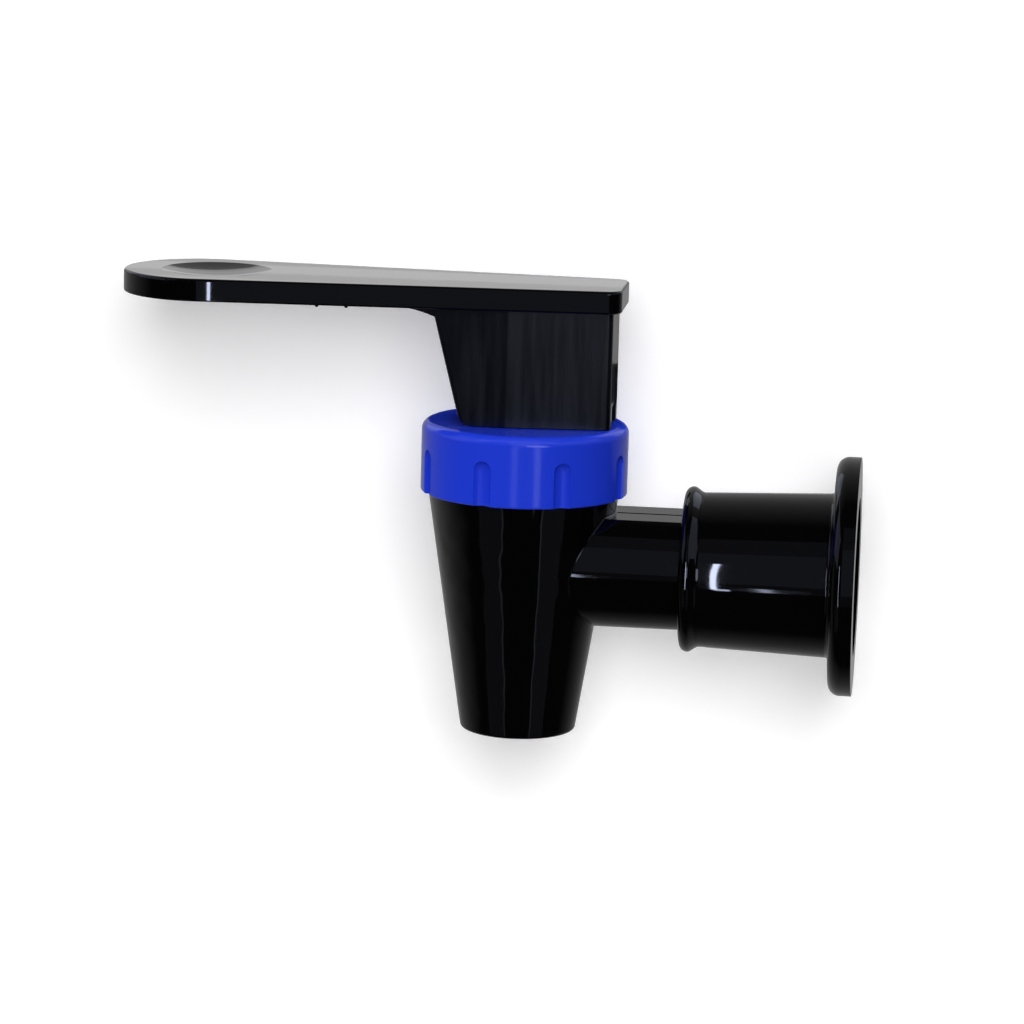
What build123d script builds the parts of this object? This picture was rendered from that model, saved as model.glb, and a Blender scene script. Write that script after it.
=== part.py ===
from build123d import *
from math import acos, atan2, cos, degrees, hypot, radians, sin, tan
import os

# Water cooler faucet with a push-down lever, in millimetres.
# The origin is the centre of the flange's back face, where the faucet meets the cooler.
# +X points out of that face, the spout stands at -X, and +Z is up.

# Running and seating clearances
stem_clearance = 0.1  # stem to its hole in the bonnet, radial
thread_clearance = 0.15  # bonnet skirt to the collar it screws onto, radial
foot_clearance = 0.1  # stem foot to its pocket in the seat cup
spring_clearance = 0.05  # each end of the spring to its seat
washer_clearance = 0.2  # washers to the wall around them, radial
pin_clearance = 0.05  # cross pin to the eye of the stem, radial
pin_seat_clearance = 0.005  # cross pin to the lever's cheeks, radial
lever_clearance = 0.15  # underside of the lever block to the top of the bonnet
cheek_clearance = 0.3  # stem to each cheek of the lever block

# Valve, from the stem outwards
stem_radius = 3.2
spring_gap = 1.1  # stem to spring
wire_diameter = 1.0
spring_turns = 7
cup_gap = 0.9  # spring to the seat cup's wall
cup_wall = 1.2
flow_gap = 2.2  # water space around the seat cup
collar_wall = 3.4  # threaded collar around the valve chamber
bonnet_wall = 2.97
shoulder_inset = 1.22  # the shoulder stands in from the bonnet's outside

# Valve, along the stem
shoulder_height = 11.15  # inlet axis to the shoulder under the bonnet
bonnet_height = 11.05
bonnet_roof = 2.4
cup_flange = 1.4  # clamped between collar and bonnet
cup_flange_inset = 0.8
cup_skirt = 5.0  # height of the cone that lets the seat cup flex
slip_washer_thickness = 0.8
seat_drop = 8.0  # inlet axis to the valve seat
seat_lip_height = 0.8
seat_lip_width = 1.2
seat_floor = 2.2
orifice_radius = 5.0
plug_floor = 1.5
plug_bevel = 0.6
plug_lip = 1.8
foot_thickness = 1.8
foot_overhang = 1.4
shank_step = 0.4
spring_seat_thickness = 1.3

# Spout and neck
reach = 52.3  # back face to the stem axis
spout_drop = 26.6  # inlet axis to the spout's tip
spout_tip_radius = 9.0
spout_tip_wall = 2.2
spout_tip_round = 0.6
spout_bore_draft = 0.6  # how much narrower the bore is at the seat
passage_radius = 6.0
neck_wall = 4.0
neck_rise = 0.4  # neck axis above the inlet axis
neck_flat_depth = 2.0
neck_blend = 0.4

# Hub and flange
socket_radius = 10.5  # root of the pipe thread, size one half inch
thread_length = 16.4
relief_step = 0.3
inlet_washer_thickness = 2.2
hub_end_wall = 6.0
hub_wall = 1.55
hub_draft = 0.75
ring_rise = 0.87
ring_width = 2.75
ring_crest = 1.5  # front edge to where the ring slopes down to the hub
ring_round = 1.2
ring_back_round = 0.8
ring_root = 1.0
flange_radius = 18.6
flange_thickness = 3.7
flange_round = 1.9
flange_root = 0.7
recess_step = 1.8
recess_floor = 1.5

# Bonnet finish
bonnet_round = 1.4
bonnet_foot_round = 0.35
notch_count = 8
notch_radius = 1.5
notch_offset = 0.4  # notch axis outside the bonnet's wall
notch_height = 7.15
notch_turn = 27.5

# Lever block
pin_height = 5.3  # top of the bonnet to the cross pin
pin_radius = 1.5
pin_bite = 2.4  # blind length in the near cheek
pin_sink = 0.3  # the far end lies below the cheek's face
stem_head = 3.4  # stem above the pin
cheek_wall = 4.35
block_height = 18.15
block_taper = 1.75  # each cheek narrows by this much towards the heel
bend_reach = 2.3  # stem axis forward to where the cheeks start to narrow
toe_reach = 7.6
toe_radius = 2.4
front_lean = 14.5
front_round = 0.7
front_wall = 3.0
heel_reach = 13.7
heel_wall = 2.2
heel_round = 0.9
heel_notch = 3.2
block_roof = 2.0
gusset_run = 7.3
gusset_drop = 1.4

# Lever paddle
paddle_reach = 50.8  # stem axis to the centre of the round end
paddle_tip_radius = 12.7
paddle_thickness = 3.5
paddle_side = 2.1  # paddle past the block, at each side of the heel
paddle_heel = 1.3  # paddle past the block, behind the heel
paddle_corner = 2.3
paddle_top_round = 0.45
paddle_under_round = 0.3
dish_reach = 49.0
dish_radius = 8.6
dish_depth = 1.15

# Radii worked out from the stem outwards
spring_radius = stem_radius + spring_gap + wire_diameter / 2
spring_seat_radius = spring_radius + wire_diameter / 2
cup_bore = spring_seat_radius + cup_gap
cup_radius = cup_bore + cup_wall
chamber_radius = cup_radius + flow_gap
collar_radius = chamber_radius + collar_wall
bonnet_bore = collar_radius + thread_clearance
bonnet_radius = bonnet_bore + bonnet_wall
shoulder_radius = bonnet_radius - shoulder_inset
shank_radius = stem_radius - shank_step
foot_radius = stem_radius + foot_overhang

# Heights along the stem
bonnet_top = shoulder_height + bonnet_height
bonnet_ceiling = bonnet_top - bonnet_roof
collar_top = bonnet_ceiling - cup_flange
spring_top = bonnet_ceiling - slip_washer_thickness
seat_z = -seat_drop
pocket_floor = seat_z + plug_floor
foot_bottom = pocket_floor + foot_clearance
foot_top = foot_bottom + foot_thickness
pocket_top = foot_top + foot_clearance
lip_top = pocket_top + plug_lip
spring_seat_under = lip_top + foot_clearance
spring_bottom = spring_seat_under + spring_seat_thickness
pin_z = bonnet_top + pin_height
stem_top = pin_z + stem_head

# Places along the inlet
recess_depth = flange_thickness - recess_floor
recess_radius = socket_radius + recess_step
relief_radius = socket_radius + relief_step
relief_length = inlet_washer_thickness + washer_clearance
relief_x = -(recess_depth + thread_length)
socket_floor_x = relief_x - relief_length
hub_front_x = socket_floor_x - hub_end_wall
ring_crest_x = hub_front_x + ring_crest
ring_back_x = hub_front_x + ring_width
hub_front_radius = socket_radius + hub_wall
hub_back_radius = hub_front_radius + hub_draft
ring_radius = hub_front_radius + ring_rise
neck_radius = passage_radius + neck_wall
neck_flat_z = neck_rise + neck_radius - neck_flat_depth

# The stem stands on this axis, and round sections about it are drawn on this plane
stem_axis = Axis((-reach, 0, 0), (0, 0, 1))
stem_plane = Plane(origin=(-reach, 0, 0), x_dir=(1, 0, 0), z_dir=(0, -1, 0))
# Places on this plane are measured from the stem axis
stem_floor = Plane(origin=(-reach, 0, 0), x_dir=(1, 0, 0), z_dir=(0, 0, 1))


def corner(sketch, x, y):
    """Return the corner of a sketch that lies at a point."""
    return sketch.vertices().sort_by_distance((x, y, 0))[0]


# Faucet body: spout, neck, hub and flange are one moulding
with BuildPart() as faucet_body:
    with BuildSketch(stem_plane) as spout_section:
        with BuildLine():
            Polyline(
                (0, -spout_drop),
                (spout_tip_radius, -spout_drop),
                (shoulder_radius, shoulder_height),
                (collar_radius, shoulder_height),
                (collar_radius, collar_top),
                (0, collar_top),
                close=True,
            )
        make_face()
        fillet(corner(spout_section, spout_tip_radius, -spout_drop), spout_tip_round)
    revolve(axis=stem_axis)

    with BuildSketch(Plane.YZ.offset(-reach)) as neck_section:
        with Locations((0, neck_rise)):
            Circle(neck_radius)
        with Locations((0, neck_flat_z)):
            Rectangle(2 * neck_radius, neck_radius, align=(Align.CENTER, Align.MIN), mode=Mode.SUBTRACT)
    extrude(amount=reach + hub_front_x + ring_round)
    fillet(faucet_body.edges(Select.NEW), neck_blend)

    with BuildSketch(Plane.XZ) as hub_section:
        with BuildLine():
            Polyline(
                (hub_front_x, 0),
                (hub_front_x, ring_radius),
                (ring_crest_x, ring_radius),
                (ring_back_x, hub_front_radius),
                (-flange_thickness, hub_back_radius),
                (-flange_thickness, flange_radius),
                (0, flange_radius),
                (0, 0),
                close=True,
            )
        make_face()
        fillet(corner(hub_section, hub_front_x, ring_radius), ring_round)
        fillet(corner(hub_section, ring_crest_x, ring_radius), ring_back_round)
        fillet(corner(hub_section, ring_back_x, hub_front_radius), ring_root)
        fillet(corner(hub_section, -flange_thickness, hub_back_radius), flange_root)
        fillet(corner(hub_section, -flange_thickness, flange_radius), flange_round)
    revolve(axis=Axis.X)

    # Valve chamber, raised valve seat and spout bore
    with BuildSketch(stem_plane):
        with BuildLine():
            Polyline(
                (0, -spout_drop),
                (spout_tip_radius - spout_tip_wall, -spout_drop),
                (spout_tip_radius - spout_tip_wall - spout_bore_draft, seat_z - seat_lip_height - seat_floor),
                (orifice_radius, seat_z - seat_lip_height - seat_floor),
                (orifice_radius, seat_z),
                (orifice_radius + seat_lip_width, seat_z),
                (orifice_radius + seat_lip_width, seat_z - seat_lip_height),
                (chamber_radius, seat_z - seat_lip_height),
                (chamber_radius, collar_top),
                (0, collar_top),
                close=True,
            )
        make_face()
    revolve(axis=stem_axis, mode=Mode.SUBTRACT)

    # Water passage from the socket to the chamber
    with BuildSketch(Plane.YZ.offset(-reach)):
        Circle(passage_radius)
    extrude(amount=reach + socket_floor_x, mode=Mode.SUBTRACT)

    # Locating recess, thread and washer relief
    with BuildSketch(Plane.XZ):
        with BuildLine():
            Polyline(
                (0, 0),
                (0, recess_radius),
                (-recess_depth, recess_radius),
                (-recess_depth, socket_radius),
                (relief_x, socket_radius),
                (relief_x, relief_radius),
                (socket_floor_x, relief_radius),
                (socket_floor_x, 0),
                close=True,
            )
        make_face()
    revolve(axis=Axis.X, mode=Mode.SUBTRACT)

# Bonnet: a screw cap with grip notches that open at its foot
with BuildPart() as bonnet:
    with BuildSketch(stem_plane) as bonnet_section:
        with BuildLine():
            Polyline(
                (bonnet_bore, shoulder_height),
                (bonnet_radius, shoulder_height),
                (bonnet_radius, bonnet_top),
                (stem_radius + stem_clearance, bonnet_top),
                (stem_radius + stem_clearance, bonnet_ceiling),
                (bonnet_bore, bonnet_ceiling),
                close=True,
            )
        make_face()
        fillet(corner(bonnet_section, bonnet_radius, bonnet_top), bonnet_round)
        fillet(corner(bonnet_section, bonnet_radius, shoulder_height), bonnet_foot_round)
    revolve(axis=stem_axis)
    with Locations(stem_floor.offset(shoulder_height)):
        with PolarLocations(bonnet_radius + notch_offset, notch_count, start_angle=notch_turn):
            Cylinder(
                notch_radius,
                notch_height - notch_radius,
                align=(Align.CENTER, Align.CENTER, Align.MIN),
                mode=Mode.SUBTRACT,
            )
    with Locations(stem_floor.offset(shoulder_height + notch_height - notch_radius)):
        with PolarLocations(bonnet_radius + notch_offset, notch_count, start_angle=notch_turn):
            Sphere(notch_radius, mode=Mode.SUBTRACT)

# Seat cup: silicone, its flange clamped under the bonnet and its plug on the valve seat
with BuildPart() as seat_cup:
    skirt_radius = (cup_radius + chamber_radius) / 2 + cup_wall / 2
    with BuildSketch(stem_plane):
        with BuildLine():
            Polyline(
                (0, seat_z),
                (cup_radius - plug_bevel, seat_z),
                (cup_radius, seat_z + plug_bevel),
                (cup_radius, collar_top - cup_skirt),
                (skirt_radius, collar_top),
                (collar_radius - cup_flange_inset, collar_top),
                (collar_radius - cup_flange_inset, bonnet_ceiling),
                (skirt_radius - cup_wall, bonnet_ceiling),
                (cup_bore, collar_top - cup_skirt),
                (cup_bore, lip_top),
                (shank_radius + foot_clearance, lip_top),
                (shank_radius + foot_clearance, pocket_top),
                (foot_radius + foot_clearance, pocket_top),
                (foot_radius + foot_clearance, pocket_floor),
                (0, pocket_floor),
                close=True,
            )
        make_face()
    revolve(axis=stem_axis)

# Stem: foot, spring seat, rod and the eye for the cross pin
with BuildPart() as stem:
    with BuildSketch(stem_plane) as stem_section:
        with BuildLine():
            Polyline(
                (0, foot_bottom),
                (foot_radius, foot_bottom),
                (foot_radius, foot_top),
                (shank_radius, foot_top),
                (shank_radius, spring_seat_under),
                (spring_seat_radius, spring_seat_under),
                (spring_seat_radius, spring_bottom),
                (stem_radius, spring_bottom),
                (stem_radius, stem_top),
                (0, stem_top),
                close=True,
            )
        make_face()
        fillet(corner(stem_section, stem_radius, stem_top), stem_radius / 2)
    revolve(axis=stem_axis)
    with BuildSketch(Plane.XZ):
        with Locations((-reach, pin_z)):
            Circle(pin_radius + pin_clearance)
    extrude(amount=stem_radius, both=True, mode=Mode.SUBTRACT)

# Return spring, between the stem's spring seat and the slip washer
with BuildPart() as return_spring:
    coil_low = spring_bottom + spring_clearance + wire_diameter / 2
    coil_high = spring_top - spring_clearance - wire_diameter / 2
    coil_height = coil_high - coil_low
    with BuildLine() as coil:
        Helix(coil_height / spring_turns, coil_height, spring_radius, center=(-reach, 0, coil_low))
    with BuildSketch(Plane(origin=coil.line @ 0, z_dir=coil.line % 0)):
        Circle(wire_diameter / 2)
    sweep()

# Slip washer, between the spring and the bonnet
with BuildPart() as slip_washer:
    with BuildSketch(stem_floor.offset(spring_top)):
        Circle(cup_bore - washer_clearance)
        Circle(stem_radius + washer_clearance, mode=Mode.SUBTRACT)
    extrude(amount=slip_washer_thickness)

# Inlet washer, at the bottom of the socket
with BuildPart() as inlet_washer:
    with BuildSketch(Plane.YZ.offset(socket_floor_x)):
        Circle(relief_radius - washer_clearance)
        Circle(passage_radius + washer_clearance, mode=Mode.SUBTRACT)
    extrude(amount=inlet_washer_thickness)

# Lever block, with its toe and gusset, before it joins the paddle
block_bottom = bonnet_top + lever_clearance
paddle_under = block_bottom + block_height
paddle_top = paddle_under + paddle_thickness
cavity_half = stem_radius + cheek_clearance
block_half = cavity_half + cheek_wall
block_rear_half = block_half - block_taper
toe_x = -reach - toe_reach
lean = radians(front_lean)
toe_end_x = toe_x - toe_radius * cos(lean)
toe_end_z = block_bottom + toe_radius - toe_radius * sin(lean)
front_foot_x = toe_end_x + (toe_end_z - block_bottom) * tan(lean)
gusset_z = paddle_under - gusset_drop
gusset_x = toe_end_x - (gusset_z - toe_end_z) * tan(lean)
gusset_tip_x = gusset_x - gusset_run
bend_x = -reach - bend_reach
heel_x = -reach + heel_reach

with BuildPart() as lever_block:
    # Cheeks and heel, straight up from their plan
    with BuildSketch(Plane.XY.offset(block_bottom)) as block_plan:
        with BuildLine():
            Polyline(
                (gusset_tip_x, -block_half),
                (bend_x, -block_half),
                (heel_x, -block_rear_half),
                (heel_x, block_rear_half),
                (bend_x, block_half),
                (gusset_tip_x, block_half),
                close=True,
            )
        make_face()
        fillet(corner(block_plan, heel_x, -block_rear_half), heel_round)
        fillet(corner(block_plan, heel_x, block_rear_half), heel_round)
    extrude(amount=block_height)

    # Leaning front with rounded edges
    with BuildSketch(Plane.XY.offset(block_bottom)) as front_plan:
        with Locations((front_foot_x, 0)):
            Rectangle(2 * (heel_x - front_foot_x), 2 * block_half, align=(Align.MIN, Align.CENTER))
        fillet(corner(front_plan, front_foot_x, -block_half), front_round)
        fillet(corner(front_plan, front_foot_x, block_half), front_round)
    extrude(amount=block_height / cos(lean), dir=(-sin(lean), 0, cos(lean)), mode=Mode.INTERSECT)

    # Round toe that the lever rolls over
    with BuildSketch(Plane.XZ):
        with BuildLine():
            Line((heel_x, block_bottom), (toe_x, block_bottom))
            TangentArc((toe_x, block_bottom), (toe_end_x, toe_end_z), tangent=(-1, 0))
            Polyline(
                (toe_end_x, toe_end_z),
                (gusset_tip_x, toe_end_z),
                (gusset_tip_x, paddle_under),
                (heel_x, paddle_under),
                (heel_x, block_bottom),
            )
        make_face()
    extrude(amount=block_half, both=True, mode=Mode.INTERSECT)

    # Gusset under the paddle, run on into the block past its rounded front edges
    with BuildSketch(Plane.XZ):
        with BuildLine():
            gusset = TangentArc((gusset_tip_x, paddle_under), (gusset_x, gusset_z), tangent=(1, 0))
            gusset_end = gusset @ 1 + (gusset % 1) * 2 * front_round
            Polyline(
                gusset @ 1,
                gusset_end,
                (gusset_end.X, paddle_under),
                (gusset_tip_x, paddle_under),
            )
        make_face()
    extrude(amount=block_half, both=True)

# Lever: paddle with its thumb dish, and the block hollowed for the stem
with BuildPart() as lever:
    paddle_heel_half = block_rear_half + paddle_side
    paddle_heel_x = heel_x + paddle_heel
    corner_x = paddle_heel_x - paddle_corner
    corner_y = paddle_heel_half - paddle_corner
    tip_x = -reach - paddle_reach
    side_length = hypot(corner_x - tip_x, corner_y)
    side_turn = acos((paddle_tip_radius - paddle_corner) / side_length)
    side_angle = degrees(atan2(corner_y, corner_x - tip_x) + side_turn)
    with BuildSketch(Plane.XY.offset(paddle_under)):
        with BuildLine():
            near_corner = CenterArc((corner_x, -corner_y), paddle_corner, -side_angle, side_angle)
            far_corner = CenterArc((corner_x, corner_y), paddle_corner, 0, side_angle)
            tip = CenterArc((tip_x, 0), paddle_tip_radius, side_angle, 360 - 2 * side_angle)
            Line(near_corner @ 1, far_corner @ 0)
            Line(far_corner @ 1, tip @ 0)
            Line(tip @ 1, near_corner @ 0)
        make_face()
    extrude(amount=paddle_thickness)
    fillet(lever.edges().group_by(Axis.Z)[-1], paddle_top_round)
    fillet(lever.edges().group_by(Axis.Z)[0], paddle_under_round)
    dish_sphere = (dish_radius**2 + dish_depth**2) / (2 * dish_depth)
    with Locations((-reach - dish_reach, 0, paddle_top + dish_sphere - dish_depth)):
        Sphere(dish_sphere, mode=Mode.SUBTRACT)
    add(lever_block.part)

    # Hollow around the stem's head, and the gap under the heel wall
    hollow_front_x = toe_x - toe_radius + front_wall
    hollow_back_x = heel_x - heel_wall
    with BuildSketch(Plane.XY.offset(block_bottom)):
        with Locations((hollow_front_x, 0)):
            Rectangle(hollow_back_x - hollow_front_x, 2 * cavity_half, align=(Align.MIN, Align.CENTER))
    extrude(amount=block_height - block_roof, mode=Mode.SUBTRACT)
    with BuildSketch(Plane.XY.offset(block_bottom)):
        with Locations((hollow_back_x, 0)):
            Rectangle(2 * heel_wall, 2 * cavity_half, align=(Align.MIN, Align.CENTER))
    extrude(amount=heel_notch, mode=Mode.SUBTRACT)

    # Pin hole, blind in the near cheek and open in the far one
    pin_near_y = -(cavity_half + pin_bite)
    with BuildSketch(Plane.XZ.offset(-pin_near_y)):
        with Locations((-reach, pin_z)):
            Circle(pin_radius + pin_seat_clearance)
    extrude(amount=-(block_half - pin_near_y), mode=Mode.SUBTRACT)

# Cross pin, pressed into the lever
with BuildPart() as lever_pin:
    cheek_slope = block_taper / (heel_x - bend_x)
    pin_far_y = block_half - cheek_slope * bend_reach - pin_sink
    with BuildSketch(Plane.XZ.offset(-pin_near_y)):
        with Locations((-reach, pin_z)):
            Circle(pin_radius)
    extrude(amount=-(pin_far_y - pin_near_y))

# One file for each piece
pieces = {
    "faucet_body": faucet_body,
    "bonnet": bonnet,
    "seat_cup": seat_cup,
    "stem": stem,
    "return_spring": return_spring,
    "slip_washer": slip_washer,
    "inlet_washer": inlet_washer,
    "lever": lever,
    "lever_pin": lever_pin,
}
os.makedirs("parts", exist_ok=True)
for name, piece in pieces.items():
    piece.part.label = name
    export_step(piece.part, f"parts/{name}.step")
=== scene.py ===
# %% [markdown]
# # A push-down faucet for a water cooler
# The real faucet is three mouldings that show: a glossy black body, a blue screw bonnet and a black
# paddle lever. The solids come in at their true size and place. This lesson gives them their
# plastic, adds the fine parts that the solids leave out, and sets up the studio around them.

import math

import bmesh
import bpy
from mathutils import Matrix, Vector


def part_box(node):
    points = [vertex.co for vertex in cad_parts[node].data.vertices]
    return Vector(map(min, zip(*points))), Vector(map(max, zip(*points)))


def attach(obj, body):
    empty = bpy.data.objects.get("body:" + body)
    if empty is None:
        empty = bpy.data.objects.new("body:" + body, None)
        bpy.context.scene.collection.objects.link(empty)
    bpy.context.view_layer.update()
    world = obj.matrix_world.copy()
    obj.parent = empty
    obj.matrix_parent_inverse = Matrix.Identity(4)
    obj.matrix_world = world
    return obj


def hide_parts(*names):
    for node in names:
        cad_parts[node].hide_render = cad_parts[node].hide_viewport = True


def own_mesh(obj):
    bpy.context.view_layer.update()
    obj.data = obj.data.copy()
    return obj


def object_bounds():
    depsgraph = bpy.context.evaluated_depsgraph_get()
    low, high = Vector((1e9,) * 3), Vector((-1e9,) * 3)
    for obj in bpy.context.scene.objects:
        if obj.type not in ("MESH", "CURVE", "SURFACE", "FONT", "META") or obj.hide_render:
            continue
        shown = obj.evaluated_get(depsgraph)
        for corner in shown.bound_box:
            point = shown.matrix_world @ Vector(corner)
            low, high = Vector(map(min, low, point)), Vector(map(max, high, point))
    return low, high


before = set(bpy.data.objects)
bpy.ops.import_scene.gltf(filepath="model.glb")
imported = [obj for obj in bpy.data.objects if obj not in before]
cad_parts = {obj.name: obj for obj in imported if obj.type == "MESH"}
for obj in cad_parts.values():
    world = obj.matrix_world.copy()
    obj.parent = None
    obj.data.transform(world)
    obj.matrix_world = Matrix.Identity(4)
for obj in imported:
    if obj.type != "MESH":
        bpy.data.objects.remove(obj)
cad_low, cad_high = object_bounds()
MM = 0.001
print("nodes", sorted(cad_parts))
print("CAD box in mm", [round(x / MM, 2) for x in cad_high - cad_low])

# %% [markdown]
# ## Camera
# A product picture is taken with a long lens from a little above. The angles, distance and roll were
# found by fitting the round edges of bonnet and flange, so the camera is built from those few numbers
# instead of being pushed around by eye.

# %% Camera at the picture's viewing angle
CAMERA_TURN = math.radians(6.2)
CAMERA_RISE = math.radians(10.664)
CAMERA_ROLL = math.radians(1.53)
CAMERA_DISTANCE = 656.23 * MM
CAMERA_TARGET = Vector((-54.056, 0, 7.701)) * MM
SENSOR_WIDTH = 36.0
LENS = 147.66


def direction(turn, rise):
    """Return the unit vector that points from the object towards a place around it."""
    flat = math.cos(rise)
    return Vector((math.sin(turn) * flat, -math.cos(turn) * flat, math.sin(rise)))


def add_camera():
    """Make the camera from its angles and return it."""
    back = direction(CAMERA_TURN, CAMERA_RISE)
    level = Vector((math.cos(CAMERA_TURN), math.sin(CAMERA_TURN), 0))
    upright = back.cross(level)
    right = level * math.cos(CAMERA_ROLL) + upright * math.sin(CAMERA_ROLL)
    up = back.cross(right)
    camera = bpy.data.objects.new("camera", bpy.data.cameras.new("camera"))
    bpy.context.scene.collection.objects.link(camera)
    camera.data.sensor_width = SENSOR_WIDTH
    camera.data.lens = LENS
    turned = Matrix((right, up, back)).transposed().to_4x4()
    camera.matrix_world = Matrix.Translation(CAMERA_TARGET + back * CAMERA_DISTANCE) @ turned
    bpy.context.scene.camera = camera
    return camera


bpy.context.scene.view_settings.view_transform = "Standard"
camera = add_camera()
print("camera stands at", [round(x, 3) for x in camera.matrix_world.translation])

# %% [markdown]
# ## White tabletop and floor
# The faucet lies on a white sheet, which catches a soft shadow right behind it. Here the sheet is an
# upright plane that the flange's rim almost touches, and a pale floor lies lower down. Both let the
# view through from behind, so that the faucet can be looked at from every side.

# %% Stage
STAGE_CENTRE = Vector((-50, 0, 5)) * MM
SHEET_GAP = 0.2 * MM
SHEET_SIZE = 1.6
FLOOR_DROP = 75 * MM
STAGE_WHITE = (0.93, 0.92, 0.93, 1)
STAGE_GLOW = 0.3
FADE_START = 130 * MM
FADE_END = 260 * MM


def join(tree, start, end):
    """Link an output socket to an input socket."""
    tree.links.new(start, end)


def stage_material():
    """Matt white that is clear from behind and glows a little to the eye, so that it ends up white."""
    material = bpy.data.materials.new("studio_white")
    material.use_nodes = True
    tree = material.node_tree
    tree.nodes.clear()
    paper = tree.nodes.new("ShaderNodeBsdfDiffuse")
    paper.inputs["Color"].default_value = STAGE_WHITE
    path = tree.nodes.new("ShaderNodeLightPath")
    level = tree.nodes.new("ShaderNodeMath")
    level.operation = "MULTIPLY"
    level.inputs[1].default_value = STAGE_GLOW
    join(tree, path.outputs["Is Camera Ray"], level.inputs[0])
    glow = tree.nodes.new("ShaderNodeEmission")
    join(tree, level.outputs[0], glow.inputs["Strength"])
    both = tree.nodes.new("ShaderNodeAddShader")
    join(tree, paper.outputs[0], both.inputs[0])
    join(tree, glow.outputs[0], both.inputs[1])
    where = tree.nodes.new("ShaderNodeTexCoord")
    away = tree.nodes.new("ShaderNodeVectorMath")
    away.operation = "DISTANCE"
    away.inputs[1].default_value = STAGE_CENTRE
    join(tree, where.outputs["Object"], away.inputs[0])
    fade = tree.nodes.new("ShaderNodeMapRange")
    fade.inputs["From Min"].default_value = FADE_START
    fade.inputs["From Max"].default_value = FADE_END
    join(tree, away.outputs["Value"], fade.inputs["Value"])
    far = tree.nodes.new("ShaderNodeEmission")
    join(tree, path.outputs["Is Camera Ray"], far.inputs["Strength"])
    ground = tree.nodes.new("ShaderNodeMixShader")
    join(tree, fade.outputs["Result"], ground.inputs["Fac"])
    join(tree, both.outputs[0], ground.inputs[1])
    join(tree, far.outputs[0], ground.inputs[2])
    side = tree.nodes.new("ShaderNodeNewGeometry")
    clear = tree.nodes.new("ShaderNodeBsdfTransparent")
    mix = tree.nodes.new("ShaderNodeMixShader")
    join(tree, side.outputs["Backfacing"], mix.inputs["Fac"])
    join(tree, ground.outputs[0], mix.inputs[1])
    join(tree, clear.outputs[0], mix.inputs[2])
    output = tree.nodes.new("ShaderNodeOutputMaterial")
    join(tree, mix.outputs[0], output.inputs["Surface"])
    return material


def stage_plane(name, place, turn):
    """Make one large square plane for the studio."""
    bm = bmesh.new()
    bmesh.ops.create_grid(bm, x_segments=1, y_segments=1, size=SHEET_SIZE)
    bmesh.ops.transform(bm, matrix=Matrix.Translation(place) @ turn, verts=bm.verts)
    mesh = bpy.data.meshes.new(name)
    bm.to_mesh(mesh)
    bm.free()
    mesh.materials.append(studio_white)
    plane = bpy.data.objects.new(name, mesh)
    bpy.context.scene.collection.objects.link(plane)
    plane.visible_shadow = False
    plane.visible_glossy = False
    return plane


studio_white = stage_material()
sheet_place = Vector((CAMERA_TARGET.x, cad_high.y + SHEET_GAP, 0))
floor_place = Vector((CAMERA_TARGET.x, 0, cad_low.z - FLOOR_DROP))
stage_plane("white_sheet", sheet_place, Matrix.Rotation(math.pi / 2, 4, "X"))
stage_plane("floor", floor_place, Matrix.Identity(4))
print("sheet at y", round(sheet_place.y, 4), "floor at z", round(floor_place.z, 4))

# %% [markdown]
# ## Room around the faucet
# Glossy black plastic shows its surroundings more than its own colour. A picture of a real room could
# be wrapped around the scene, but its lights would fall where they like. So the room is a plain one: dim
# in front of the faucet and paler towards the sheet, which gives the round edges a soft rim.

# %% World
WORLD_FRONT = 0.012
WORLD_BACK = 0.42
WORLD_PALEST = (-0.25, 1, 0)
DIM_UP_TO = -0.1
PALEST_AT = 1
BACKDROP_WHITE = (1, 0.99, 1, 1)


def set_world():
    """White to the eye, dim in front of the faucet and paler and paler behind it."""
    world = bpy.data.worlds.new("studio")
    bpy.context.scene.world = world
    world.use_nodes = True
    tree = world.node_tree
    tree.nodes.clear()
    where = tree.nodes.new("ShaderNodeTexCoord")
    behind = tree.nodes.new("ShaderNodeVectorMath")
    behind.operation = "DOT_PRODUCT"
    behind.inputs[1].default_value = WORLD_PALEST
    join(tree, where.outputs["Generated"], behind.inputs[0])
    depth = tree.nodes.new("ShaderNodeMapRange")
    depth.inputs["From Min"].default_value = DIM_UP_TO
    depth.inputs["From Max"].default_value = PALEST_AT
    depth.inputs["To Min"].default_value = WORLD_FRONT
    depth.inputs["To Max"].default_value = WORLD_BACK
    join(tree, behind.outputs["Value"], depth.inputs["Value"])
    room = tree.nodes.new("ShaderNodeBackground")
    join(tree, depth.outputs["Result"], room.inputs["Strength"])
    white = tree.nodes.new("ShaderNodeBackground")
    white.inputs["Color"].default_value = BACKDROP_WHITE
    path = tree.nodes.new("ShaderNodeLightPath")
    mix = tree.nodes.new("ShaderNodeMixShader")
    join(tree, path.outputs["Is Camera Ray"], mix.inputs["Fac"])
    join(tree, room.outputs[0], mix.inputs[1])
    join(tree, white.outputs[0], mix.inputs[2])
    output = tree.nodes.new("ShaderNodeOutputWorld")
    join(tree, mix.outputs[0], output.inputs["Surface"])


set_world()
print("room goes from", WORLD_FRONT, "in front to", WORLD_BACK, "behind")

# %% [markdown]
# ## Soft lamps
# The lamps light only the colours and are hidden from reflections, because a lamp would show as a spot
# in every round edge. Two of them light the bonnet alone, so that its notches get a pale and a dark
# side while the sheet keeps one soft shadow.

# %% Lamps
LAMP_DISTANCE = 1.2


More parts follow.
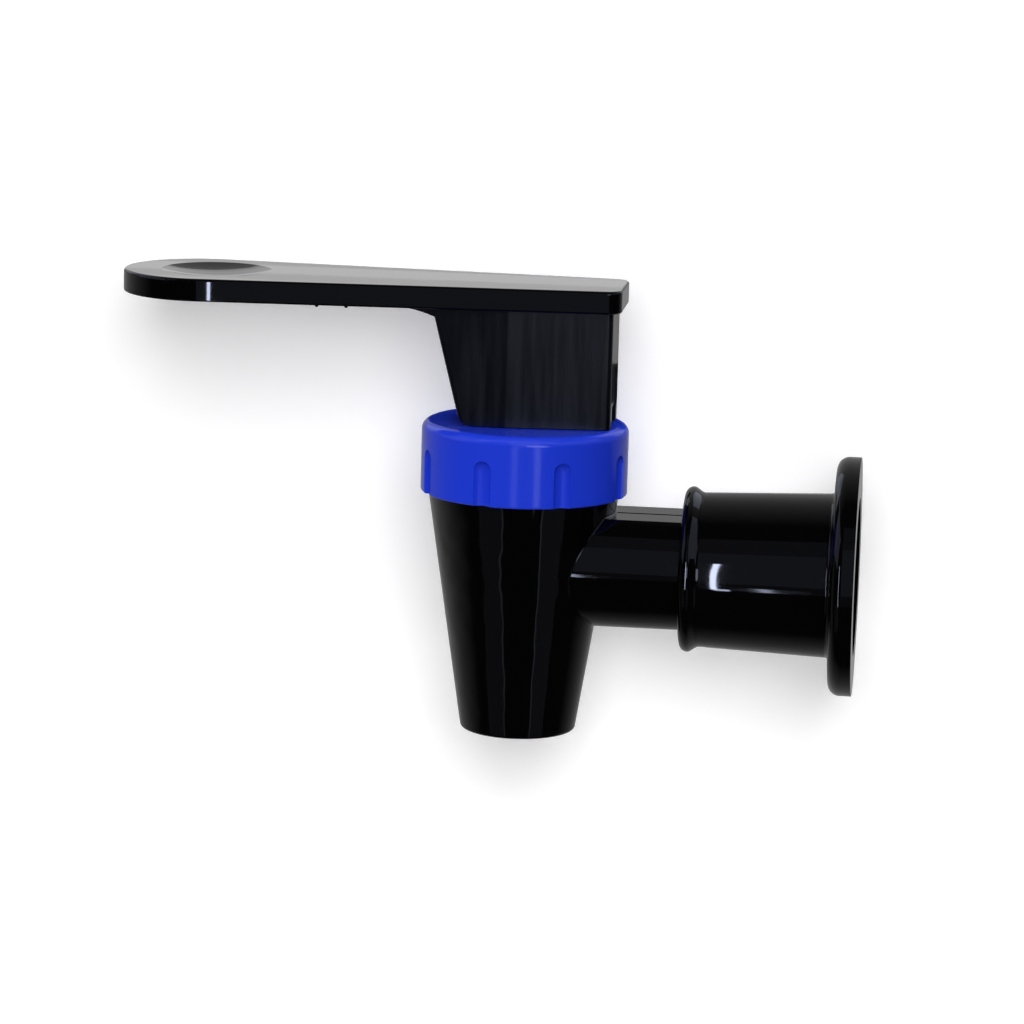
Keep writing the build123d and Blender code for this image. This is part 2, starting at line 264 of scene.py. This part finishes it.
def add_lamp(name, turn, rise, width, height, watts):
    """Add a rectangular lamp that faces the studio's centre, with angles in degrees and sizes in metres."""
    lamp = bpy.data.lights.new(name, "AREA")
    lamp.shape = "RECTANGLE"
    lamp.size = width
    lamp.size_y = height
    lamp.energy = watts
    holder = bpy.data.objects.new(name, lamp)
    bpy.context.scene.collection.objects.link(holder)
    towards = direction(math.radians(turn), math.radians(rise))
    holder.location = STAGE_CENTRE + towards * LAMP_DISTANCE
    holder.rotation_euler = (-towards).to_track_quat("-Z", "Y").to_euler()
    holder.visible_camera = False
    return holder


def soft_lamp(name, turn, rise, size, level):
    """Light the colours only: a white surface that faces the lamp alone would show this level."""
    holder = add_lamp(name, turn, rise, size, size, level * (math.pi * LAMP_DISTANCE) ** 2)
    holder.visible_glossy = False
    return holder


def light_only(holder, node):
    """Let a lamp light one solid alone, by light linking."""
    lit = bpy.data.collections.new(holder.name)
    lit.objects.link(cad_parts[node])
    holder.light_linking.receiver_collection = lit


soft_lamp("key", turn=8, rise=25, size=0.8, level=0.85)
light_only(soft_lamp("fill", turn=-35, rise=12, size=0.9, level=0.14), "bonnet")
light_only(soft_lamp("side", turn=-72, rise=12, size=0.5, level=0.25), "bonnet")
soft_lamp("top", turn=10, rise=80, size=0.8, level=0.44)
soft_lamp("rear", turn=165, rise=40, size=0.8, level=0.5)

# %% [markdown]
# ## Reflected cards
# The real body mirrors a window and the pale walls beside the camera, and photographers hold up white
# cards for that. Each card here is a lamp that shows only in reflections. Its place and size are angles
# as the faucet sees them, so each reflection can be moved by itself.

# %% Cards
DAYLIGHT = (0.86, 0.95, 1.25)


def card(name, turn, rise, wide, high, radiance):
    """Show as a reflection only: a card that spans so many degrees, with this brightness."""
    width = 2 * LAMP_DISTANCE * math.tan(math.radians(wide / 2))
    height = 2 * LAMP_DISTANCE * math.tan(math.radians(high / 2))
    holder = add_lamp(name, turn, rise, width, height, radiance * math.pi * width * height)
    holder.data.color = DAYLIGHT
    holder.visible_diffuse = False
    return holder


card("window", turn=6, rise=14, wide=30, high=44, radiance=0.14)
card("window_foot", turn=6, rise=-13, wide=30, high=10, radiance=0.04)
card("high_window", turn=6, rise=47, wide=30, high=22, radiance=0.07)
card("left_wall", turn=-36, rise=-29, wide=30, high=26, radiance=0.06)
card("left_wall_edge", turn=-20.5, rise=-29, wide=1.6, high=26, radiance=0.22)
card("right_wall", turn=46, rise=-29, wide=26, high=26, radiance=0.07)
card("right_wall_edge", turn=32, rise=-29, wide=1.6, high=26, radiance=0.25)
card("neck_glint", turn=-5.05, rise=-15.5, wide=0.2, high=5, radiance=10)
card("corner_light", turn=20, rise=5, wide=22, high=14, radiance=2.5)
card("right_sky", turn=72, rise=32, wide=60, high=36, radiance=0.35)
card("left_sky", turn=-76, rise=32, wide=60, high=36, radiance=0.35)
card("rear_window", turn=148, rise=30, wide=26, high=34, radiance=0.5)
card("rear_left", turn=-136, rise=30, wide=26, high=34, radiance=0.5)

# %% [markdown]
# ## Bright strips behind the paddle
# The paddle's flat top stands clear of the shadow on the sheet, so it mirrors the sheet in pale bands
# that run along it. One bright card would give a single even band. So four long low cards, each with
# its own brightness, stand just in front of the sheet. The thumb dish shows dark because it mirrors
# the room above them.

# %% Cards behind the paddle
STRIP_X = -80 * MM
STRIP_WIDTH = 88 * MM


def paddle_strip(name, low, high, radiance):
    """Add a low card between two heights, where the paddle's top mirrors it."""
    height = high - low
    holder = add_lamp(name, 0, 0, STRIP_WIDTH, height, radiance * math.pi * STRIP_WIDTH * height)
    holder.location = (STRIP_X, cad_high.y, (low + high) / 2)
    holder.rotation_euler = (-math.pi / 2, 0, 0)
    holder.visible_diffuse = False
    print(name, "from", round(low / MM, 1), "to", round(high / MM, 1), "mm")


paddle_strip("far_strip", low=42.5 * MM, high=45.5 * MM, radiance=0.42)
paddle_strip("middle_strip", low=45.5 * MM, high=46.8 * MM, radiance=0.6)
paddle_strip("dull_strip", low=46.8 * MM, high=47.9 * MM, radiance=0.44)
paddle_strip("near_strip", low=47.9 * MM, high=49.7 * MM, radiance=0.62)

# %% [markdown]
# ## Small cards for the glints
# A few glints come from lamps close to the faucet: a bar on the hub, a tick on the paddle's side, two
# soft streaks on the bonnet and a pale line along its shoulder. A far lamp would have to be hair-thin,
# and its glint would bend with every wave of the skin. A small card close by gives a steady glint, and
# light linking keeps it to one part.

# %% Cards close to the faucet
GLINT_Y = -71.6


def near_card(name, node, place, width, height, radiance, rise=0):
    """Add a card for one solid alone, in millimetres, that looks down by so many degrees."""
    area = width * height * MM * MM
    holder = add_lamp(name, 0, rise, width * MM, height * MM, radiance * math.pi * area)
    holder.location = [value * MM for value in place]
    holder.data.color = DAYLIGHT
    holder.visible_diffuse = False
    light_only(holder, node)
    print(name, "stands at", [round(v, 4) for v in holder.location])


near_card("hub_bar", "faucet_body", (-29.2, GLINT_Y, 3.25), width=1.2, height=44.5, radiance=22)
near_card("hub_bar_foot", "faucet_body", (-28, GLINT_Y, -19.5), width=2.6, height=3, radiance=10)
near_card("paddle_tick", "lever", (-100.7, -22.5, 40.6), width=0.5, height=8, radiance=18)
near_card("bonnet_left_streak", "bonnet", (-57, GLINT_Y, 5), width=8, height=24, radiance=0.65)
near_card("bonnet_right_streak", "bonnet", (-28, GLINT_Y, 5), width=8, height=24, radiance=1.2)
near_card("bonnet_shoulder", "bonnet", (-60, -50, 70), width=110, height=16, radiance=0.9, rise=55)

# %% [markdown]
# ## Painted shade behind the bonnet
# The bonnet's flat top mirrors the patch of sheet that lies in the shadow of the lever, so it stays a
# clear blue. The sheet is hidden from reflections, so that shadow is painted in. Photographers hold a
# black card where a reflection has to be dark, and here a small black card of painted shade stands in
# for the shadow. It shows in reflections alone.

# %% Black card of painted shade
SHADE_CARD_X = -52 * MM
SHADE_CARD_Z = 25.75 * MM
SHADE_CARD_WIDTH = 40 * MM
SHADE_CARD_HEIGHT = 6.5 * MM


def painted_shade_card():
    """Stand a small black card of painted shade on the sheet, just above the bonnet."""
    black = bpy.data.materials.new("painted_shade_black")
    black.use_nodes = True
    shader = black.node_tree.nodes["Principled BSDF"]
    shader.inputs["Base Color"].default_value = (0, 0, 0, 1)
    shader.inputs["Specular IOR Level"].default_value = 0
    bm = bmesh.new()
    bmesh.ops.create_grid(bm, x_segments=1, y_segments=1, size=0.5)
    bmesh.ops.scale(bm, vec=(SHADE_CARD_WIDTH, SHADE_CARD_HEIGHT, 1), verts=bm.verts)
    place = Matrix.Translation((SHADE_CARD_X, cad_high.y + SHEET_GAP / 2, SHADE_CARD_Z))
    bmesh.ops.transform(bm, matrix=place @ Matrix.Rotation(math.pi / 2, 4, "X"), verts=bm.verts)
    mesh = bpy.data.meshes.new("painted_shade_card")
    bm.to_mesh(mesh)
    bm.free()
    mesh.materials.append(black)
    shade_card = bpy.data.objects.new("painted_shade_card", mesh)
    bpy.context.scene.collection.objects.link(shade_card)
    shade_card.visible_camera = False
    shade_card.visible_diffuse = False
    shade_card.visible_shadow = False
    return shade_card


# The black card is painted shade: in reflections it stands for the lever's shadow on the sheet.
painted_shade_card()
print("flag in mm", round(SHADE_CARD_WIDTH / MM, 1), "by", round(SHADE_CARD_HEIGHT / MM, 1))

# %% [markdown]
# ## Moulded skin
# No moulding is a perfect mirror. Its skin has slow waves where the plastic shrank, and a fine grain
# from the steel of the mould. One node group makes both from noise, and each plastic sets how deep
# they are.

# %% Node group for the skin of a moulding


def new_group(name, inputs, outputs):
    """Start a shader node group and return its tree with its input and output nodes."""
    tree = bpy.data.node_groups.new(name, "ShaderNodeTree")
    for title, kind in inputs:
        tree.interface.new_socket(title, in_out="INPUT", socket_type=kind)
    for title, kind in outputs:
        tree.interface.new_socket(title, in_out="OUTPUT", socket_type=kind)
    return tree, tree.nodes.new("NodeGroupInput"), tree.nodes.new("NodeGroupOutput")


def noise(tree, vector, scale, detail):
    """Add a noise texture and return its value."""
    made = tree.nodes.new("ShaderNodeTexNoise")
    made.inputs["Scale"].default_value = scale
    made.inputs["Detail"].default_value = detail
    join(tree, vector, made.inputs["Vector"])
    return made.outputs["Fac"]


def math_node(tree, operation, *values):
    """Add a math node on sockets or numbers and return its value."""
    made = tree.nodes.new("ShaderNodeMath")
    made.operation = operation
    for socket, value in zip(made.inputs, values):
        if isinstance(value, (int, float)):
            socket.default_value = value
        else:
            join(tree, value, socket)
    return made.outputs[0]


WAVE_SCALE = 170
GRAIN_SCALE = 2600
PATCH_SCALE = 510


def moulded_skin_group():
    """Height of the skin in metres, and a roughness that drifts a little."""
    tree, given, made = new_group(
        "moulded_skin",
        (
            ("Vector", "NodeSocketVector"),
            ("Wave Depth", "NodeSocketFloat"),
            ("Grain Depth", "NodeSocketFloat"),
            ("Roughness", "NodeSocketFloat"),
            ("Roughness Drift", "NodeSocketFloat"),
        ),
        (("Height", "NodeSocketFloat"), ("Roughness", "NodeSocketFloat")),
    )
    wave = noise(tree, given.outputs["Vector"], WAVE_SCALE, 1)
    grain = noise(tree, given.outputs["Vector"], GRAIN_SCALE, 3)
    waves = math_node(tree, "MULTIPLY", wave, given.outputs["Wave Depth"])
    grains = math_node(tree, "MULTIPLY", grain, given.outputs["Grain Depth"])
    height = math_node(tree, "ADD", waves, grains)
    patch = noise(tree, given.outputs["Vector"], PATCH_SCALE, 4)
    drift = math_node(tree, "MULTIPLY", patch, given.outputs["Roughness Drift"])
    rough = math_node(tree, "ADD", given.outputs["Roughness"], drift)
    join(tree, height, made.inputs["Height"])
    join(tree, rough, made.inputs["Roughness"])
    return tree


moulded_skin = moulded_skin_group()
print("group", moulded_skin.name, "with", len(moulded_skin.nodes), "nodes")

# %% [markdown]
# ## Plastics
# The body is glossy black, the bonnet blue, and the lever black again, with a duller block under the
# paddle. The white stem, the washers and the silicone cup sit inside. All of them use the skin group,
# and each sets its own colour on the shader itself, so that one change to the group reaches them all.

# %% Plastic materials
PLASTIC_IOR = 1.5
SILICONE_IOR = 1.41
BLACK = (0.0009, 0.0008, 0.0011)
BLUE = (0.0116, 0.0376, 0.575)
STEM_WHITE = (0.75, 0.75, 0.71)
WASHER_WHITE = (0.8, 0.8, 0.77)
SILICONE_GREY = (0.62, 0.64, 0.63)
RUBBER_BLACK = (0.008, 0.008, 0.008)


def plastic(name, colour, wave, grain, rough, drift, ior=PLASTIC_IOR):
    """Make a moulded plastic and return the material, its tree and its main nodes."""
    material = bpy.data.materials.new(name)
    material.use_nodes = True
    tree = material.node_tree
    shader = tree.nodes["Principled BSDF"]
    shader.inputs["Base Color"].default_value = (*colour, 1)
    shader.inputs["IOR"].default_value = ior
    where = tree.nodes.new("ShaderNodeTexCoord")
    skin = tree.nodes.new("ShaderNodeGroup")
    skin.node_tree = moulded_skin
    join(tree, where.outputs["Object"], skin.inputs["Vector"])
    skin.inputs["Wave Depth"].default_value = wave
    skin.inputs["Grain Depth"].default_value = grain
    skin.inputs["Roughness"].default_value = rough
    skin.inputs["Roughness Drift"].default_value = drift
    bump = tree.nodes.new("ShaderNodeBump")
    bump.inputs["Distance"].default_value = 1
    join(tree, skin.outputs["Height"], bump.inputs["Height"])
    join(tree, bump.outputs[0], shader.inputs["Normal"])
    join(tree, skin.outputs["Roughness"], shader.inputs["Roughness"])
    return material, tree, shader, where, skin


body_black, body_tree, _, body_where, body_skin = plastic(
    "body_black", BLACK, wave=0, grain=0.04e-6, rough=0.025, drift=0.02
)
bonnet_blue = plastic("bonnet_blue", BLUE, wave=2.5e-6, grain=0.02e-6, rough=0.12, drift=0.06)[0]
lever_black, lever_tree, lever_shader, lever_where, lever_skin = plastic(
    "lever_black", BLACK, wave=7e-6, grain=0.05e-6, rough=0.035, drift=0.04
)
stem_white = plastic("stem_white", STEM_WHITE, wave=5e-6, grain=0.4e-6, rough=0.35, drift=0.1)[0]
washer_white = plastic("washer_white", WASHER_WHITE, wave=4e-6, grain=0.5e-6, rough=0.4, drift=0.1)[0]
cup_silicone = plastic(
    "cup_silicone", SILICONE_GREY, wave=5e-6, grain=0.8e-6, rough=0.5, drift=0.12, ior=SILICONE_IOR
)[0]
washer_rubber = plastic("washer_rubber", RUBBER_BLACK, wave=6e-6, grain=2e-6, rough=0.55, drift=0.2)[0]
print("materials so far", [m.name for m in bpy.data.materials])

# %% [markdown]
# ## Sink marks on the spout
# The spout is the thickest part of the body, so it shrank most as it cooled, and the lines mirrored in
# it wobble. The hub is thinner and nearly true. So the depth of the waves falls off from the spout
# towards the flange.

# %% Waves on the spout
SPOUT_WAVE = 220e-6
HUB_WAVE = 1.5e-6
WAVE_FROM = -55 * MM
WAVE_TO = -45 * MM


def add_spout_waves(tree, where, skin):
    """Let the waves fade out along the inlet axis."""
    axes = tree.nodes.new("ShaderNodeSeparateXYZ")
    join(tree, where.outputs["Object"], axes.inputs[0])
    fade = tree.nodes.new("ShaderNodeMapRange")
    fade.inputs["From Min"].default_value = WAVE_FROM
    fade.inputs["From Max"].default_value = WAVE_TO
    fade.inputs["To Min"].default_value = SPOUT_WAVE
    fade.inputs["To Max"].default_value = HUB_WAVE
    join(tree, axes.outputs["X"], fade.inputs["Value"])
    join(tree, fade.outputs["Result"], skin.inputs["Wave Depth"])


add_spout_waves(body_tree, body_where, body_skin)
print("waves fade from", SPOUT_WAVE, "to", HUB_WAVE)

# %% [markdown]
# ## Satin block under the paddle
# The block's part of the mould was left unpolished, so below the paddle the lever is satin and a
# little greyer, with faint lighter streaks that run up and down in its colour and roughness. The
# height of a point tells the two finishes apart.

# %% Satin finish on the lever's block
SATIN_BELOW = 40.3 * MM
SATIN_EDGE = 0.3 * MM
SATIN_BLACK = (0.0009, 0.0013, 0.003, 1)
SATIN_STREAK = (0.0068, 0.0074, 0.0102, 1)
SATIN_ROUGH = 0.22
ROUGH_SWING = 0.1
STREAK_STRETCH = (1, 1, 0.07)
STREAK_SCALE = 1100
STREAK_DETAIL = 4
STREAK_FROM = 0.36
STREAK_TO = 0.7


def add_satin(tree, shader, where, skin):
    """Mix the polished finish with a streaked satin one, by height."""
    axes = tree.nodes.new("ShaderNodeSeparateXYZ")
    join(tree, where.outputs["Object"], axes.inputs[0])
    mask = tree.nodes.new("ShaderNodeMapRange")
    mask.inputs["From Min"].default_value = SATIN_BELOW
    mask.inputs["From Max"].default_value = SATIN_BELOW + SATIN_EDGE
    join(tree, axes.outputs["Z"], mask.inputs["Value"])
    stretch = tree.nodes.new("ShaderNodeMapping")
    stretch.inputs["Scale"].default_value = STREAK_STRETCH
    join(tree, where.outputs["Object"], stretch.inputs["Vector"])
    streaks = noise(tree, stretch.outputs[0], STREAK_SCALE, STREAK_DETAIL)
    tone = tree.nodes.new("ShaderNodeValToRGB")
    tone.color_ramp.elements[0].position = STREAK_FROM
    tone.color_ramp.elements[0].color = SATIN_BLACK
    tone.color_ramp.elements[1].position = STREAK_TO
    tone.color_ramp.elements[1].color = SATIN_STREAK
    join(tree, streaks, tone.inputs["Fac"])
    colour = tree.nodes.new("ShaderNodeMix")
    colour.data_type = "RGBA"
    join(tree, mask.outputs["Result"], colour.inputs["Factor"])
    join(tree, tone.outputs["Color"], colour.inputs["A"])
    colour.inputs["B"].default_value = (*BLACK, 1)
    join(tree, colour.outputs["Result"], shader.inputs["Base Color"])
    uneven = math_node(tree, "MULTIPLY_ADD", streaks, ROUGH_SWING, SATIN_ROUGH - ROUGH_SWING / 2)
    gloss = tree.nodes.new("ShaderNodeMix")
    join(tree, mask.outputs["Result"], gloss.inputs["Factor"])
    join(tree, uneven, gloss.inputs["A"])
    join(tree, skin.outputs["Roughness"], gloss.inputs["B"])
    join(tree, gloss.outputs["Result"], shader.inputs["Roughness"])


add_satin(lever_tree, lever_shader, lever_where, lever_skin)
print("lever nodes", len(lever_tree.nodes))

# %% [markdown]
# ## Steel
# The cross pin and the spring's wire are steel that was drawn through a die, with a soft dull shine.
# Drawn lines could be added along the wire, but on such small parts only a fine grain shows. So the skin
# group is used again, on a metal.

# %% Steel materials
STEEL_GREY = (0.55, 0.55, 0.56)


def steel(name, rough):
    """Make a drawn steel, which is a metal with the same kind of skin."""
    material, _, shader, _, _ = plastic(name, STEEL_GREY, wave=2e-6, grain=0.6e-6, rough=rough, drift=0.12)
    shader.inputs["Metallic"].default_value = 1
    return material


pin_steel = steel("pin_steel", 0.22)
wire_steel = steel("wire_steel", 0.28)
print("steels", pin_steel.name, wire_steel.name)

# %% [markdown]
# ## Finishes on the solids
# A mesh can have a different material on each face, but every solid here is one piece of one stuff, so
# it needs one material. The lever's two finishes are told apart inside its own material. Whatever a
# solid came in with is taken off first.

# %% Materials on the solids
FINISHES = {
    "faucet_body": body_black,
    "bonnet": bonnet_blue,
    "lever": lever_black,
    "lever_pin": pin_steel,
    "stem": stem_white,
    "return_spring": wire_steel,
    "slip_washer": washer_white,
    "seat_cup": cup_silicone,
    "inlet_washer": washer_rubber,
}
for node_name, material in FINISHES.items():
    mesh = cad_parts[node_name].data
    mesh.materials.clear()
    mesh.materials.append(material)
print("finished", len(FINISHES), "solids")

# %% [markdown]
# ## Pipe thread in the socket
# The hub screws onto a half-inch pipe stub. Its thread could be cut into the solid, but a fine helix
# makes a heavy model, so the solid has the thread's root as a plain wall. The crest is one small
# profile, spun about the inlet axis while it steps along it.

# %% Socket thread
THREAD_PITCH = 1.814 * MM
THREAD_ROOT = 10.55 * MM
THREAD_CREST = 9.4 * MM
CREST_WIDTH = 0.36 * MM
ROOT_WIDTH = 1.5 * MM
THREAD_START = -18.2 * MM
THREAD_TURNS = 8
STEPS_PER_TURN = 64
MERGE_DISTANCE = 1e-7
SMOOTH_ANGLE = math.radians(35)


def add_piece(name, bm, body, material):
    """Turn a bmesh into a piece that rides on a body, shaded smooth up to an angle."""
    mesh = bpy.data.meshes.new(name)
    bm.to_mesh(mesh)
    bm.free()
    mesh.materials.append(material)
    mesh.shade_smooth()
    mesh.set_sharp_from_angle(angle=SMOOTH_ANGLE)
    piece = bpy.data.objects.new(name, mesh)
    bpy.context.scene.collection.objects.link(piece)
    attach(piece, body)
    print(name, "has", len(mesh.polygons), "faces")
    return piece


def socket_thread():
    """Spin the crest's profile along the socket."""
    bm = bmesh.new()
    corners = (
        (-ROOT_WIDTH / 2, THREAD_ROOT),
        (-CREST_WIDTH / 2, THREAD_CREST),
        (CREST_WIDTH / 2, THREAD_CREST),
        (ROOT_WIDTH / 2, THREAD_ROOT),
    )
    profile = bm.faces.new([bm.verts.new((THREAD_START + x, 0, r)) for x, r in corners])
    bmesh.ops.spin(
        bm,
        geom=[profile, *profile.edges, *profile.verts],
        cent=(0, 0, 0),
        axis=(1, 0, 0),
        dvec=(THREAD_PITCH / STEPS_PER_TURN, 0, 0),
        angle=2 * math.pi * THREAD_TURNS,
        steps=STEPS_PER_TURN * THREAD_TURNS,
    )
    bmesh.ops.remove_doubles(bm, verts=bm.verts, dist=MERGE_DISTANCE)
    bmesh.ops.recalc_face_normals(bm, faces=bm.faces)
    return add_piece("socket_thread", bm, "faucet", body_black)


socket_thread()

# %% [markdown]
# ## Return spring
# When the lever lifts the stem, the spring is pressed together under the bonnet. The solid is rigid, so
# it is replaced by the same coil, spun here from one small circle, with a mesh of its own.

# %% Return spring
WIRE_RADIUS = 0.5 * MM
SPRING_TURNS = 7
WIRE_SIDES = 14
UP = (0, 0, 1)


def return_spring():
    """Spin a small circle up the stem into a coil with a mesh of its own."""
    low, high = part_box("return_spring")
    axis_x = (low.x + high.x) / 2
    radius = (high.x - low.x) / 2 - WIRE_RADIUS
    rise = high.z - low.z - 2 * WIRE_RADIUS
    steps = STEPS_PER_TURN * SPRING_TURNS
    bm = bmesh.new()
    bmesh.ops.create_circle(bm, cap_ends=True, segments=WIRE_SIDES, radius=WIRE_RADIUS)
    place = Matrix.Translation((axis_x + radius, 0, low.z + WIRE_RADIUS))
    bmesh.ops.transform(bm, matrix=place @ Matrix.Rotation(math.pi / 2, 4, "X"), verts=bm.verts)
    bmesh.ops.spin(
        bm,
        geom=[*bm.faces, *bm.edges, *bm.verts],
        cent=(axis_x, 0, 0),
        axis=UP,
        dvec=(0, 0, rise / steps),
        angle=2 * math.pi * SPRING_TURNS,
        steps=steps,
    )
    bmesh.ops.remove_doubles(bm, verts=bm.verts, dist=MERGE_DISTANCE)
    bmesh.ops.recalc_face_normals(bm, faces=bm.faces)
    piece = add_piece("spring_coil", bm, "swivel", wire_steel)
    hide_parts("return_spring")
    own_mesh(piece)
    return piece


return_spring()

# %% [markdown]
# ## Seat cup
# The silicone cup closes the valve seat and keeps water away from the spring, and it folds up a little
# as the stem rises. Its section is spun about the stem, like the spring. A squash would also flatten
# the pocket around the stem's foot, so the pocket is made a little taller than the foot.

# %% Seat cup
CUP_WALL = 1.2 * MM
CUP_RADIUS = 7.4 * MM
CUP_FLANGE = 1.4 * MM
CUP_SKIRT = 5.0 * MM
SKIRT_RADIUS = 9.1 * MM
PLUG_BEVEL = 0.6 * MM
POCKET_RADIUS = 4.7 * MM
POCKET_FLOOR = 1.2 * MM
POCKET_TOP = 3.8 * MM
LIP_RADIUS = 2.9 * MM
LIP_TOP = 5.3 * MM
CUP_STEPS = 96


def seat_cup():
    """Spin the cup's section about the stem."""
    low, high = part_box("seat_cup")
    axis_x = (low.x + high.x) / 2
    flange_radius = (high.x - low.x) / 2
    floor_z, roof_z = low.z, high.z
    collar_z = roof_z - CUP_FLANGE
    section = (
        (0, floor_z),
        (CUP_RADIUS - PLUG_BEVEL, floor_z),
        (CUP_RADIUS, floor_z + PLUG_BEVEL),
        (CUP_RADIUS, collar_z - CUP_SKIRT),
        (SKIRT_RADIUS, collar_z),
        (flange_radius, collar_z),
        (flange_radius, roof_z),
        (SKIRT_RADIUS - CUP_WALL, roof_z),
        (CUP_RADIUS - CUP_WALL, collar_z - CUP_SKIRT),
        (CUP_RADIUS - CUP_WALL, floor_z + LIP_TOP),
        (LIP_RADIUS, floor_z + LIP_TOP),
        (LIP_RADIUS, floor_z + POCKET_TOP),
        (POCKET_RADIUS, floor_z + POCKET_TOP),
        (POCKET_RADIUS, floor_z + POCKET_FLOOR),
        (0, floor_z + POCKET_FLOOR),
    )
    bm = bmesh.new()
    points = [bm.verts.new((axis_x + r, 0, z)) for r, z in section]
    edges = [bm.edges.new(pair) for pair in zip(points, points[1:])]
    bmesh.ops.spin(
        bm,
        geom=[*points, *edges],
        cent=(axis_x, 0, 0),
        axis=UP,
        angle=2 * math.pi,
        steps=CUP_STEPS,
        use_merge=True,
    )
    bmesh.ops.remove_doubles(bm, verts=bm.verts, dist=MERGE_DISTANCE)
    bmesh.ops.recalc_face_normals(bm, faces=bm.faces)
    piece = add_piece("folding_cup", bm, "faucet", cup_silicone)
    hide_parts("seat_cup")
    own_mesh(piece)
    return piece


seat_cup()

# %% [markdown]
# ## Trimmed flash under the paddle
# Two specks of flash were left where the mould halves met along the paddle's lower edge. They could
# be painted on, but they break the outline, so each is a small flattened ball half sunk in the edge.

# %% Flash specks
FLASH_PLACES = ((-83.7, -11.42), (-79.2, -11.07))
FLASH_RADIUS = 0.22 * MM
FLASH_LONG = 1.3
FLASH_FLAT = 0.6
PADDLE_EDGE = 3.5 * MM
PADDLE_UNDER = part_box("lever")[1].z - PADDLE_EDGE


def flash_speck(index, x, y):
    """Set one flattened speck on the paddle's lower edge."""
    bm = bmesh.new()
    bmesh.ops.create_icosphere(bm, subdivisions=3, radius=FLASH_RADIUS)
    bmesh.ops.scale(bm, vec=(FLASH_LONG, FLASH_FLAT, 1), verts=bm.verts)
    bmesh.ops.translate(bm, vec=(x * MM, y * MM, PADDLE_UNDER), verts=bm.verts)
    return add_piece(f"flash_speck_{index}", bm, "lever", lever_black)


for index, (x, y) in enumerate(FLASH_PLACES, 1):
    flash_speck(index, x, y)

# %% [markdown]
# ## Parting line on the neck
# The two halves of the body's mould meet in its middle plane. On the flat top of the neck their joint
# shows as a fine ridge. A solid could carry it, but it is thinner than a hair, so it is a low three-sided
# bar here, sunk into the neck.

# %% Parting line
LINE_START = -38.2 * MM
LINE_END = -26.6 * MM
LINE_TOP = 8.47 * MM
LINE_FOOT = 8.3 * MM
LINE_HALF = 0.14 * MM


def parting_line():
    """Make the ridge as a triangle pulled along the neck."""
    bm = bmesh.new()
    corners = ((-LINE_HALF, LINE_FOOT), (LINE_HALF, LINE_FOOT), (0, LINE_TOP))
    end = bm.faces.new([bm.verts.new((LINE_START, y, z)) for y, z in corners])
    pulled = bmesh.ops.extrude_face_region(bm, geom=[end], use_keep_orig=True)
    moved = [part for part in pulled["geom"] if isinstance(part, bmesh.types.BMVert)]
    bmesh.ops.translate(bm, vec=(LINE_END - LINE_START, 0, 0), verts=moved)
    bmesh.ops.recalc_face_normals(bm, faces=bm.faces)
    return add_piece("parting_line", bm, "faucet", body_black)


parting_line()
